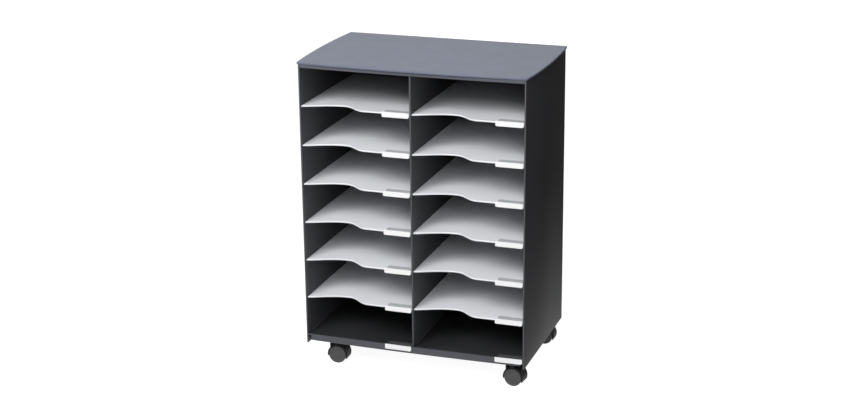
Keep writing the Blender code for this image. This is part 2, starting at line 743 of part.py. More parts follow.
def make_housing_mesh():
    """Hood, web and collar in one moulding. X runs from the stem to the axle, Y along the axle."""
    hood_half = CASTER_HALF_WIDTH - HOOD_SETBACK
    steps = ROUND_STEPS // 2 + 2
    start = -math.asin(HOOD_TRAIL_DROP / HOOD_RADIUS)
    end = math.pi + math.asin(HOOD_LEAD_DROP / HOOD_RADIUS)
    hood = []
    for step in range(steps + 1):
        angle = start + (end - start) * step / steps
        hood.append((CASTER_TRAIL + HOOD_RADIUS * math.cos(angle), HOOD_RADIUS * math.sin(angle)))
    upright = Matrix.Translation((0, 0, WHEEL_RADIUS)) @ TURN_ABOUT_Y
    blank = add_helper("housing_blank", slab_mesh("housing_blank", hood, -hood_half, hood_half, upright))
    collar = (COLLAR_RADIUS, (0, 0, WHEEL_RADIUS), collar_top() - WHEEL_RADIUS)
    join(blank, cylinder_mesh("housing_collar", collar))
    web = (WEB_RADIUS, (CASTER_TRAIL, 0, -WEB_THICKNESS / 2), WEB_THICKNESS)
    join(blank, cylinder_mesh("housing_web", web, turn=upright))
    room = 2 * CASTER_HALF_WIDTH
    rooms = [
        (HOOD_INNER_RADIUS, (CASTER_TRAIL, 0, WEB_THICKNESS / 2), room),
        (HOOD_INNER_RADIUS, (CASTER_TRAIL, 0, -WEB_THICKNESS / 2 - room), room),
    ]
    cut(blank, cylinder_mesh("wheel_rooms", *rooms, turn=upright))
    bore = (STEM_RADIUS + FIT, (0, 0, stem_bottom()), room)
    cut(blank, cylinder_mesh("stem_bore", bore))
    axle_bore = (AXLE_RADIUS + FIT, (CASTER_TRAIL, 0, -room), 2 * room)
    cut(blank, cylinder_mesh("axle_bore", axle_bore, turn=upright))
    mesh = evaluated_mesh(blank, "housing")
    smooth_rounds(mesh)
    return mesh


def make_wheel_mesh():
    """Moulded wheel about its own axle, which runs along Y; its plain face looks to -Y."""
    width = WHEEL_WIDTH
    bore = AXLE_RADIUS + FIT
    blind = width - WHEEL_WALL
    rim_inner = WHEEL_RADIUS - WHEEL_WALL
    profile = [(0, width - WHEEL_FACE_DISH), (WHEEL_HUB_RADIUS, width - WHEEL_FACE_DISH)]
    profile += [(WHEEL_HUB_RADIUS + WHEEL_FACE_DISH, width)]
    profile += [(WHEEL_RADIUS - WHEEL_EDGE_CHAMFER, width), (WHEEL_RADIUS, width - WHEEL_EDGE_CHAMFER)]
    profile += [(WHEEL_RADIUS, WHEEL_EDGE_CHAMFER), (WHEEL_RADIUS - WHEEL_EDGE_CHAMFER, 0), (rim_inner, 0)]
    profile += [(rim_inner, blind), (WHEEL_HUB_RADIUS, blind), (WHEEL_HUB_RADIUS, 0), (bore, 0)]
    profile += [(bore, blind - FIT), (0, blind - FIT)]
    mesh = turned_mesh("wheel", profile)
    mesh.transform(TURN_ABOUT_Y)
    smooth_rounds(mesh)
    return mesh


def make_axle_mesh():
    half = CASTER_HALF_WIDTH - WHEEL_WALL - 2 * FIT
    axle = (AXLE_RADIUS, (0, 0, -half), 2 * half)
    mesh = cylinder_mesh("axle", axle, turn=TURN_ABOUT_Y)
    smooth_rounds(mesh)
    return mesh


def make_casters():
    """Each caster hangs on an empty on its swivel axis, and each wheel turns about its own origin."""
    socket = make_socket_mesh()
    stem = make_stem_mesh()
    housing = make_housing_mesh()
    wheel = make_wheel_mesh()
    axle = make_axle_mesh()
    axle_place = (CASTER_TRAIL, 0, WHEEL_RADIUS)
    inner_face = WEB_THICKNESS / 2 + WHEEL_SIDE_GAP
    for key, (x, y) in stem_places().items():
        name = f"caster_{key}"
        add_part(name + "_socket", socket, SOCKET_GREY, (x, y, SKIRT_BOTTOM))
        swivel = add_object(name + "_swivel", None, PARTS, (x, y, 0))
        swivel.rotation_euler.z = math.radians(SWIVEL_TURNS[key])
        add_part(name + "_stem", stem, STEEL, parent=swivel)
        add_part(name + "_housing", housing, CASTER_BLACK, parent=swivel)
        add_part(name + "_axle", axle, STEEL, axle_place, parent=swivel)
        near = (CASTER_TRAIL, -inner_face, WHEEL_RADIUS)
        far = (CASTER_TRAIL, inner_face, WHEEL_RADIUS)
        add_part(name + "_wheel_front", wheel, WHEEL_GREY, near, parent=swivel)
        add_part(name + "_wheel_rear", wheel, WHEEL_GREY, far, parent=swivel, turn=math.pi)


clear_scene()
PARTS = new_collection("mobile_pigeonhole_cabinet")
HELPERS = new_collection("cutters")
ANTHRACITE = new_material("anthracite plastic", (0.052, 0.054, 0.060), 0.55)
LID_GREY = new_material("lid plastic", (0.250, 0.268, 0.318), 0.5)
LIGHT_GREY = new_material("light grey plastic", (0.680, 0.690, 0.710), 0.45)
CLEAR = new_material("clear plastic", (0.800, 0.820, 0.840), 0.15, alpha=0.45)
SOCKET_GREY = new_material("socket plastic", (0.120, 0.120, 0.125), 0.5)
CASTER_BLACK = new_material("caster plastic", (0.016, 0.016, 0.017), 0.45)
WHEEL_GREY = new_material("wheel plastic", (0.075, 0.075, 0.078), 0.5)
STEEL = new_material("bright steel", (0.620, 0.620, 0.630), 0.3, metallic=1.0)

make_lid()
make_top_panel()
make_side_panel("side_panel_left", -1)
make_side_panel("side_panel_right", 1)
make_divider()
make_back_panel()
make_shelves()
for bay_name in BAYS:
    make_tray(bay_name)
make_label_holders()
make_casters()
bpy.context.view_layer.update()
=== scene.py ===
"""The looks of a mobile pigeonhole cabinet: mouldings, casters, label cards, plastics and studio.

Metres, +Z up. The front faces -Y. Every finished piece sits at the origin, with its place in its
mesh.
"""

import json
import math

import bmesh
import bpy
from mathutils import Euler, Matrix, Vector

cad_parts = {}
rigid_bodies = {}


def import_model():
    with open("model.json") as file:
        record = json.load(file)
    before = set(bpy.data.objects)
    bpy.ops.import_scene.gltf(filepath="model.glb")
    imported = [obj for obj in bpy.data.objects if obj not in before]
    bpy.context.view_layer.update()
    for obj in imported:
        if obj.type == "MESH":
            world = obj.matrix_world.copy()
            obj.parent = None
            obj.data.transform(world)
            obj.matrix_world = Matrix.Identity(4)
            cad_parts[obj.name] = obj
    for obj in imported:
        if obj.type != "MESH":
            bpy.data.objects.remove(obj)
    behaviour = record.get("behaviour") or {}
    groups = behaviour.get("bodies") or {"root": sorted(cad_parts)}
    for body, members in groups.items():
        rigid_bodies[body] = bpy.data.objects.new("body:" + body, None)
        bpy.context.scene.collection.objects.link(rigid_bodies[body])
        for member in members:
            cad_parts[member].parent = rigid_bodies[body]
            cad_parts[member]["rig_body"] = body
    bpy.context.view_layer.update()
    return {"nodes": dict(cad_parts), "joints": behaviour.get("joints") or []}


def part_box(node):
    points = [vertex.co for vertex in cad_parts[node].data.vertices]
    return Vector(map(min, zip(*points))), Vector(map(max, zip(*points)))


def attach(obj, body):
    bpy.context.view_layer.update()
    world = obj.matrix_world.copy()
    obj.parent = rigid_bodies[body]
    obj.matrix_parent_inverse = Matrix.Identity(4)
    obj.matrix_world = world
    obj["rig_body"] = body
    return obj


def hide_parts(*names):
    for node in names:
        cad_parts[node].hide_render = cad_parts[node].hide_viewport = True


bl_info = {
    "name": "Mobile Pigeonhole Cabinet",
    "version": (1, 0, 0),
    "blender": (4, 5, 0),
    "location": "View3D > Sidebar > Cabinet",
    "description": "Builds the mouldings, casters, label cards and studio of a pigeonhole cabinet",
    "category": "Add Mesh",
}

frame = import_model()
CABINET = "cabinet"
CASTERS = ("front_left", "front_right", "rear_left", "rear_right")
BAYS = ("left", "right")
ROWS = 7

# Studio: lengths in metres from the floor's middle, lamps in watts, brightness as a share of white

LAMPS = {  # name: place, diameter, power
    "key_lamp": ((-0.9, -2.6, 2.6), 1.6, 94.0),
    "high_lamp": ((0.6, -2.4, 3.2), 1.6, 24.0),
    "fill_lamp": ((1.6, -3.2, 2.0), 1.6, 35.0),
    "back_lamp": ((-0.8, 3.6, 0.36), 0.6, 30.0),
}
LAMP_TARGET = (0, 0, 0.35)
FLOOR_RADIUS = 9
FLOOR_DROP = 0.0002  # keeps the floor just below the wheels
FLOOR_FADE = (0.45, 1.4)  # where the floor starts and stops darkening
FLOOR_FAR_SHARE = 0.25  # colour of the far floor, as a share of the near floor's
FLOOR_GLOW = (0.92, 1.0)  # brightness of the near and the far floor as a background
DARK_CARD_SIZE = (1.5, 3.4)  # height and depth
DARK_CARD_PLACE = (0.290, 1.4, 0.752)
DARK_CARD_FADE_HEIGHT = 0.45  # the card is at its darkest above this
DARK_CARD_FADE_POWER = 2.0
DARK_CARD_GLOW = (0.05, 0.42)  # brightness at its darkest and at the floor
SENSOR_WIDTH = 36  # millimetres
CLIP_END = 60
MATT = 0.9  # roughness of the floor and the dark card

# Surfaces: sizes in metres, scales in cycles per metre, the rest as shares

RAMP_SPAN = (0.3, 0.7)  # part of a noise that a colour ramp spreads over
ROUGHNESS_SPREAD = 0.06
GRAIN_DEPTH = 0.12  # depth of the grain, as a share of its size
GRAIN_BUMP = 0.25
CLOUD_SCALE = 7.0
LID_CLOUD_SCALE = 26.0
CASTER_CLOUD_SCALE = 420.0
TRAY_CLOUD_SCALE = 9.0
TRAY_CLOUD_DARKEST = 0.90
TRAY_BLEND = 0.0004  # width of the change from the front's painted sheen to the floor's painted shade
PAINTED_SHEEN_DEPTH = 0.002  # the front's painted sheen reaches this far behind the carcass's front edges
FLANGE_BLEND = 0.001  # width of the change from window to flange
HAZE_SCALE = 160.0
HAZE_LIGHTEST = 1.05
HAZE_ROUGHNESS = (0.10, 0.22)
FIBRE_SCALE = 900.0
FIBRE_DARKEST = 0.985
FIBRE_ROUGHNESS = (0.75, 0.9)
FIBRE_BUMP = 0.1
FIBRE_DEPTH = 0.00002
STREAK_SCALE = 2200.0
STREAK_DARKEST = 0.9
STREAK_ROUGHNESS = (0.22, 0.38)

# Small shape numbers, in metres where they are lengths

ROUND_SIDES = 96  # sides of a large round shape
LID_GRID = (60, 36)
LID_GAP = 0.0003  # top panel to lid
PEG_SIDES = 32
PEG_SINK = 0.001  # how far a peg reaches into the lid
PEG_ROUNDING = 0.0006
FRONT_PEG_STEP = 0.0045  # how much farther back the front pegs stand, behind the rail
RIM_ANGLE = math.radians(60)  # a sharper fold than this is an edge of the lid
SHELF_GRID = (140, 14)
SHELF_PACKING = 1.4  # power that packs the grid's rows towards the front edge
SHORTEST_ALONG = 0.0005  # an edge that spans more of X than this runs along the front
FRONT_ZONE = 0.1  # the front edge lies within this depth
HOLDER_ROUNDING = 0.0003
CHAMFER_SHARE = 0.9  # the card's cut-off corner, as a share of the holder's
SOCKET_ROUNDING = 0.0003
AXLE_BORE = 0.0028  # radius of the axle's bore in housing and wheels
WHEEL_RIM_SHARE = 0.16  # width of a wheel's outer band, as a share of its radius
WHEEL_STEP = 0.0005  # width and depth of the step inside that band
WHEEL_DISH = 0.0060  # width of the flat ring inside the step
WHEEL_HUB_SLOPE = 0.0008  # width of the slope up to the hub's cap
WHEEL_HUB_RISE = 0.0004
SAME_PLACE = 0.0001
REACH_SLACK = 0.0002
MERGE_DISTANCE = 0.00001
PACKED_MERGE_DISTANCE = 0.00002
FLAT_FOLD = math.radians(0.6)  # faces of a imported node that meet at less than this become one
FACING = 0.9  # a face looks along an axis if more than this share of its normal does
CUTTER = 0.06  # length of a shape that only cuts
STEM_BORE_ROOM = 0.0003  # stem to the wall of its bore
STEM_BORE_FLOOR = 0.0015  # wall left below the stem's bore


# Settings that a user would change


def length(name, description, default):
    return bpy.props.FloatProperty(
        name=name, description=description, default=default, unit="LENGTH", precision=4
    )


def angle(name, description, degrees):
    return bpy.props.FloatProperty(
        name=name, description=description, default=math.radians(degrees), unit="ROTATION"
    )


def colour(name, description, default):
    return bpy.props.FloatVectorProperty(
        name=name, description=description, default=default, size=3, min=0, max=1, subtype="COLOR"
    )


def share(name, description, default):
    return bpy.props.FloatProperty(
        name=name, description=description, default=default, min=0, max=1, subtype="FACTOR"
    )


class LidSettings(bpy.types.PropertyGroup):
    side_bow: length("Side bow", "How far the middle of a side bows out", 0.0075)
    front_bow: length("Front bow", "How far the middle of the front bows out", 0.0095)
    corner_radius: length("Corner radius", "Radius of the corners, seen from above", 0.004)
    edge_radius: length("Edge radius", "Rounding of the lid's upper edge", 0.0012)
    lower_radius: length("Lower edge radius", "Rounding of the lid's lower edge", 0.0006)
    peg_radius: length("Peg radius", "Radius of the pegs below the lid", 0.004)
    peg_inset: length("Peg inset", "Side panels to the axis of a peg", 0.030)
    panel: length("Side panel", "Thickness of a side panel", 0.0035)


class ShelfSettings(bpy.types.PropertyGroup):
    thickness: length("Plate thickness", "Thickness of a shelf behind its rim", 0.0018)
    rim_height: length("Rim height", "Height of the rim along the front edge", 0.0032)
    left_depth: length("Left depth", "How far the front edge is set back at its left end", 0.003)
    recess_depth: length("Recess depth", "Depth of the finger recess", 0.0295)
    rise: length("Rise", "Left end to where the recess is at its deepest", 0.088)
    flat: length("Flat", "Length of the deepest part", 0.0035)
    fall: length("Fall", "Length of the curve back to the straight part", 0.053)
    fullness: bpy.props.FloatProperty(
        name="Fullness", description="Power of the rise's curve", default=1.25
    )
    edge_radius: length("Edge radius", "Rounding of the front edge", 0.0008)


class HolderSettings(bpy.types.PropertyGroup):
    card_margin: length("Card margin", "Card to the ends of its holder", 0.0005)
    card_thickness: length("Card thickness", "Thickness of a label card", 0.0003)
    card_corner: length("Card corner", "Corner radius of a label card", 0.0008)
    low_corner: length("Low corner", "Rounding of the card's lower left corner", 0.0022)
    card_bottom: length("Card bottom", "Holder's lower edge to the card", 0.0013)
    card_top: length("Card top", "Holder's upper edge to the card", 0.0004)
    card_setback: length("Card setback", "Holder's front face to the card's", 0.0011)
    chamfer: length("Chamfer", "Cut-off lower right corner", 0.003)
    tray_bow: length("Tray bow", "Bow of the trays' front edge, which their holders follow", 0.0048)


class CasterSettings(bpy.types.PropertyGroup):
    wheel_radius: length("Wheel radius", "Radius of a wheel", 0.020)
    wheel_width: length("Wheel width", "Width of a wheel", 0.012)
    wheel_wall: length("Wheel wall", "Wall of a wheel's tread and face", 0.0025)
    hub_radius: length("Hub radius", "Radius of a wheel's hub", 0.0055)
    tread_round: length("Tread rounding", "Rounding of the tread's edges", 0.0012)
    web: length("Web", "Thickness of the web between the wheels", 0.0064)
    web_radius: length("Web radius", "Radius of the web round the axle", 0.009)
    side_gap: length("Side gap", "Web to wheel", 0.00045)
    hood_gap: length("Hood gap", "Tread to the hood's inside", 0.0013)
    hood_wall: length("Hood wall", "Wall of the hood", 0.0022)
    hood_setback: length("Hood setback", "Wheel's face to the hood's edge", 0.0014)
    lead_drop: length("Lead drop", "Hood's lower edge below the axle, on the stem's side", 0.0035)
    trail_drop: length("Trail drop", "Hood's lower edge below the axle, on the far side", 0.0078)
    collar_radius: length("Collar radius", "Radius of the collar round the stem", 0.005)
    stem_radius: length("Stem radius", "Radius of the stem", 0.003)
    edge_radius: length("Edge radius", "Rounding of the housing's edges", 0.0006)


class FinishSettings(bpy.types.PropertyGroup):
    anthracite: colour("Anthracite", "Plastic of the carcass", (0.027, 0.0282, 0.033))
    # The top panel's tone is the carcass's anthracite made lighter and a little bluer: painted
    # light on its forward-facing rail.
    rail: colour("Rail", "Plastic of the top panel and its front rail", (0.055, 0.060, 0.078))
    # The base trays are one plastic with one roughness: their lighter front tone is painted sheen
    # and their darker floor tone is painted shade.
    skirt_painted_sheen: colour("Skirt", "Satin front skirt of the base trays", (0.056, 0.059, 0.069))
    tray_floor_painted_shade: colour("Tray floor", "Matt floor of the base trays", (0.010, 0.0105, 0.012))
    lid: colour("Lid", "Plastic of the lid", (0.116, 0.132, 0.182))
    shelf: colour("Shelf", "Plastic of the shelves", (0.725, 0.740, 0.765))
    card: colour("Card", "Blank label cards", (0.862, 0.862, 0.866))
    holder: colour("Holder", "Clear plastic of the label holders", (0.200, 0.205, 0.215))
    window_cover: share("Window cover", "How much of its card a holder's front hides", 0.05)
    flange_cover: share("Flange cover", "How much of the shelf a holder's flange hides", 0.165)
    housing: colour("Housing", "Caster housings", (0.011, 0.011, 0.012))
    wheel: colour("Wheel", "Caster wheels", (0.033, 0.033, 0.034))
    socket: colour("Socket", "Caster sockets", (0.120, 0.120, 0.125))
    steel: colour("Steel", "Stems and axles", (0.620, 0.620, 0.630))
    grain: length("Grain", "Size of the moulded grain", 0.0009)


class StageSettings(bpy.types.PropertyGroup):
    floor: colour("Floor", "Colour of the floor", (0.36, 0.36, 0.36))
    ambient: share("Ambient", "Strength of the world's light on the object", 0.37)
    lens: bpy.props.FloatProperty(
        name="Lens", description="Focal length", default=71.16, subtype="DISTANCE_CAMERA"
    )
    camera_x: length("Camera X", "Place of the camera along X", 1.17434)
    camera_y: length("Camera Y", "Place of the camera along Y", -3.40603)
    camera_z: length("Camera Z", "Height of the camera", 1.52660)
    tilt: angle("Tilt", "Camera's turn about X", 71.96277)
    roll: angle("Roll", "Camera's turn about Y", 0.56952)
    heading: angle("Heading", "Camera's turn about Z", 19.11106)


GROUPS = {
    "cabinet_lid": LidSettings,
    "cabinet_shelf": ShelfSettings,
    "cabinet_holder": HolderSettings,
    "cabinet_caster": CasterSettings,
    "cabinet_finish": FinishSettings,
    "cabinet_stage": StageSettings,
}


# Modelling helpers


def calm():
    """Object mode with nothing selected."""
    if bpy.context.object and bpy.context.object.mode != "OBJECT":
        bpy.ops.object.mode_set(mode="OBJECT")
    bpy.ops.object.select_all(action="DESELECT")


def pick(piece):
    calm()
    piece.hide_set(False)
    piece.select_set(True)
    bpy.context.view_layer.objects.active = piece


def started(name):
    """The primitive that was just added, named, with its place in its mesh."""
    piece = bpy.context.object
    piece.name = name
    piece.data.name = name
    bpy.ops.object.transform_apply(location=True, rotation=True, scale=True)
    return piece


def begin_edit(piece, mode="FACE"):
    pick(piece)
    bpy.ops.object.mode_set(mode="EDIT")
    bpy.ops.mesh.select_mode(type=mode)
    bpy.ops.mesh.select_all(action="DESELECT")


def end_edit(tidy=False):
    if tidy:
        bpy.ops.mesh.select_all(action="SELECT")
        bpy.ops.mesh.remove_doubles(threshold=MERGE_DISTANCE)
        bpy.ops.mesh.normals_make_consistent(inside=False)
    bpy.ops.object.mode_set(mode="OBJECT")


def choose(piece, kind, test):
    """Selects the faces, edges or verts in edit mode for which test is true, and no others."""
    bpy.ops.mesh.select_all(action="DESELECT")
    shape = bmesh.from_edit_mesh(piece.data)
    for part in getattr(shape, kind):
        if test(part):
            part.select_set(True)
    shape.select_flush_mode()
    bmesh.update_edit_mesh(piece.data)


def modify(piece, kind, **settings):
    """Adds a modifier and applies it."""
    pick(piece)
    step = piece.modifiers.new(kind.title(), kind)
    for name, value in settings.items():
        setattr(step, name, value)
    bpy.ops.object.modifier_apply(modifier=step.name)


def round_edges(piece, width, segments=2, degrees=40):
    modify(
        piece,
        "BEVEL",
        width=width,
        segments=segments,
        limit_method="ANGLE",
        angle_limit=math.radians(degrees),
        use_clamp_overlap=True,
        harden_normals=False,
        miter_outer="MITER_ARC",
    )


def smooth(piece, degrees=32):
    pick(piece)
    bpy.ops.object.shade_smooth_by_angle(angle=math.radians(degrees))


def combine(piece, helper, operation):
    modify(piece, "BOOLEAN", operation=operation, solver="EXACT", object=helper)
    bpy.data.objects.remove(helper)


def copied(piece, name, matrix):
    """A copy with its own mesh, moved in that mesh."""
    twin = piece.copy()
    twin.data = piece.data.copy()
    twin.name = name
    twin.data.name = name
    twin.data.transform(matrix)
    bpy.context.scene.collection.objects.link(twin)
    return twin


def node_copy(node, name):
    """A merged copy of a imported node's mesh, free to be changed."""
    source = frame["nodes"][node]
    piece = bpy.data.objects.new(name, source.data.copy())
    bpy.context.scene.collection.objects.link(piece)
    piece.data.materials.clear()
    begin_edit(piece)
    bpy.ops.mesh.select_all(action="SELECT")
    bpy.ops.mesh.remove_doubles(threshold=PACKED_MERGE_DISTANCE)
    bpy.ops.mesh.dissolve_limited(angle_limit=FLAT_FOLD)
    end_edit()
    return piece


def finish(piece, look, body, nodes=()):
    """Gives a piece its material and its body, and hides the nodes that it stands for."""
    piece.data.materials.clear()
    piece.data.materials.append(look)
    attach(piece, body)
    if nodes:
        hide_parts(*nodes)


def softened(node, look, radius):
    """Puts a node's own shape, with its edges rounded, in place of the node."""
    piece = node_copy(node, node + "_moulded")
    round_edges(piece, radius)
    smooth(piece)
    finish(piece, look, frame["nodes"][node]["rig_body"], (node,))


# Materials


class Nodes:
    """Short way to add nodes to a material."""

    def __init__(self, name):
        self.material = bpy.data.materials.new(name)
        self.material.use_nodes = True
        self.tree = self.material.node_tree
        self.shader = self.tree.nodes["Principled BSDF"]
        self.coordinates = self.add("ShaderNodeTexCoord")

    def add(self, kind, inputs=None, **settings):
        node = self.tree.nodes.new(kind)
        for name, value in settings.items():
            setattr(node, name, value)
        for name, value in (inputs or {}).items():
            node.inputs[name].default_value = value
        return node

    def link(self, source, output, target, socket):
        self.tree.links.new(source.outputs[output], target.inputs[socket])

    def noise(self, scale, detail=2.0, roughness=0.5):
        node = self.add(
            "ShaderNodeTexNoise", {"Scale": scale, "Detail": detail, "Roughness": roughness}
        )
        self.link(self.coordinates, "Object", node, "Vector")
        return node

    def ramp_colour(self, source, dark, light):
        ramp = self.add("ShaderNodeValToRGB")
        ends = ramp.color_ramp.elements
        for end, position, tone in zip(ends, RAMP_SPAN, (dark, light)):
            end.position = position
            end.color = (*tone, 1)
        self.link(source, "Fac", ramp, "Fac")
        self.link(ramp, "Color", self.shader, "Base Color")

    def range_to(self, source, socket, low, high):
        ranged = self.add("ShaderNodeMapRange", {"To Min": low, "To Max": high})
        self.link(source, "Fac", ranged, "Value")
        self.link(ranged, "Result", self.shader, socket)

    def bump(self, source, strength, distance):
        bump = self.add("ShaderNodeBump", {"Strength": strength, "Distance": distance})
        self.link(source, "Fac", bump, "Height")
        self.link(bump, "Normal", self.shader, "Normal")

    def grain(self, size, roughness, strength):
        """Fine moulded grain: uneven gloss and a shallow bump."""
        fine = self.noise(1.0 / size, detail=2.0, roughness=0.6)
        spread = ROUGHNESS_SPREAD
        self.range_to(fine, "Roughness", roughness - spread, roughness + spread)
        self.bump(fine, strength, size * GRAIN_DEPTH)

    def along(self, axis, limits):
        """A value that goes from one limit to the other along an axis of the object."""
        place = self.add("ShaderNodeSeparateXYZ")
        self.link(self.coordinates, "Object", place, "Vector")
        ranged = self.add("ShaderNodeMapRange", limits)
        self.link(place, axis, ranged, "Value")
        return ranged


def moulded_plastic(
    name,
    tone,
    roughness,
    grain,
    mottle=0.04,
    specular=0.5,
    bump=GRAIN_BUMP,
    cloud_scale=CLOUD_SCALE,
):
    """Injection-moulded plastic: fine grain, a slight cloudiness and uneven gloss."""
    made = Nodes(name)
    cloud = made.noise(cloud_scale, detail=3.0)
    dark = [value * (1 - mottle) for value in tone]
    light = [min(1.0, value * (1 + mottle)) for value in tone]
    made.ramp_colour(cloud, dark, light)
    made.grain(grain, roughness, bump)
    made.shader.inputs["Specular IOR Level"].default_value = specular
    return made.material


def tray_plastic(name, skirt_painted_sheen, tray_floor_painted_shade, roughness, floor_start, grain):
    """Moulded plastic, lighter in front of floor_start on Y as painted sheen and darker behind it
    as painted shade.
    """
    made = Nodes(name)
    painted_light_zone = made.along("Y", {"From Min": floor_start - TRAY_BLEND, "From Max": floor_start})
    tone = made.add("ShaderNodeValToRGB")
    tone.color_ramp.elements[0].color = (*skirt_painted_sheen, 1)
    tone.color_ramp.elements[1].color = (*tray_floor_painted_shade, 1)
    made.link(painted_light_zone, "Result", tone, "Fac")
    cloud = made.noise(TRAY_CLOUD_SCALE, detail=3.0)
    shade = made.add("ShaderNodeValToRGB")
    shade.color_ramp.elements[0].color = (*[TRAY_CLOUD_DARKEST] * 3, 1)
    shade.color_ramp.elements[1].color = (1, 1, 1, 1)
    made.link(cloud, "Fac", shade, "Fac")
    mixed = made.add("ShaderNodeMix", data_type="RGBA", blend_type="MULTIPLY")
    mixed.inputs["Factor"].default_value = 1.0
    made.tree.links.new(tone.outputs["Color"], mixed.inputs[6])
    made.tree.links.new(shade.outputs["Color"], mixed.inputs[7])
    made.tree.links.new(mixed.outputs[2], made.shader.inputs["Base Color"])
    made.grain(grain, roughness, GRAIN_BUMP)
    return made.material


def clear_plastic(name, tone, window_cover, flange_cover, flange_start):
    """Thin clear plastic, with the flange, behind flange_start on Y, a little less clear."""
    made = Nodes(name)
    haze = made.noise(HAZE_SCALE)
    light = [min(1.0, value * HAZE_LIGHTEST) for value in tone]
    made.ramp_colour(haze, tone, light)
    made.range_to(haze, "Roughness", *HAZE_ROUGHNESS)
    cover = made.along(
        "Y",
        {
            "From Min": flange_start,
            "From Max": flange_start + FLANGE_BLEND,
            "To Min": window_cover,
            "To Max": flange_cover,
        },
    )
    made.link(cover, "Result", made.shader, "Alpha")
    made.material.surface_render_method = "BLENDED"
    return made.material


def plain_card(name, tone):
    """Blank label card with a faint fibre."""
    made = Nodes(name)
    fibre = made.noise(FIBRE_SCALE, detail=4.0, roughness=0.7)
    made.ramp_colour(fibre, [value * FIBRE_DARKEST for value in tone], tone)
    made.range_to(fibre, "Roughness", *FIBRE_ROUGHNESS)
    made.bump(fibre, FIBRE_BUMP, FIBRE_DEPTH)
    return made.material


def bright_steel(name, tone):
    """Drawn steel with fine streaks."""
    made = Nodes(name)
    streak = made.noise(STREAK_SCALE)
    made.ramp_colour(streak, [value * STREAK_DARKEST for value in tone], tone)
    made.range_to(streak, "Roughness", *STREAK_ROUGHNESS)
    made.shader.inputs["Metallic"].default_value = 1.0
    return made.material


def material(name):
    """A finish of this cabinet, made on first use."""
    found = bpy.data.materials.get(name)
    if found:
        return found
    tones = bpy.context.scene.cabinet_finish
    grain = tones.grain
    fine = grain / 2
    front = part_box("side_panel_left")[0].y
    cloud = {"cloud_scale": CASTER_CLOUD_SCALE}
    grained_lid = {"mottle": 0.07, "specular": 0.3, "cloud_scale": LID_CLOUD_SCALE}
    makers = {  # name: maker, (tones, roughness, grain), options
        "carcass_plastic": (moulded_plastic, (tones.anthracite, 0.6, grain), {"specular": 0.75}),
        # painted sheen on the trays' front and painted shade on their floor
        "tray_plastic": (
            tray_plastic,
            (tones.skirt_painted_sheen, tones.tray_floor_painted_shade, 0.6, front + PAINTED_SHEEN_DEPTH, grain),
            {},
        ),
        # painted light: the anthracite made lighter for the forward-facing rail
        "rail_plastic": (moulded_plastic, (tones.rail, 0.6, grain), {"specular": 0.75}),
        "lid_plastic_grained": (moulded_plastic, (tones.lid, 0.42, grain), grained_lid),
        "shelf_plastic": (
            moulded_plastic,
            (tones.shelf, 0.42, grain),
            {"mottle": 0.015, "bump": 0.15},
        ),
        "housing_plastic": (
            moulded_plastic,
            (tones.housing, 0.5, fine),
            {"mottle": 0.25, "specular": 0.15, **cloud},
        ),
        "wheel_plastic_satin": (
            moulded_plastic,
            (tones.wheel, 0.5, fine),
            {"mottle": 0.16, **cloud},
        ),
        "socket_plastic_satin": (moulded_plastic, (tones.socket, 0.5, fine), {}),
        "holder_plastic": (
            clear_plastic,
            (tones.holder, tones.window_cover, tones.flange_cover, front),
            {},
        ),
        "label_card": (plain_card, (tones.card,), {}),
        "drawn_steel": (bright_steel, (tones.steel,), {}),
    }
    maker, values, options = makers[name]
    return maker(name, *values, **options)


# Pieces


def bow(part, rise):
    """Height of a shallow arc over its chord, for a share of its length."""
    return rise * 4 * part * (1 - part)


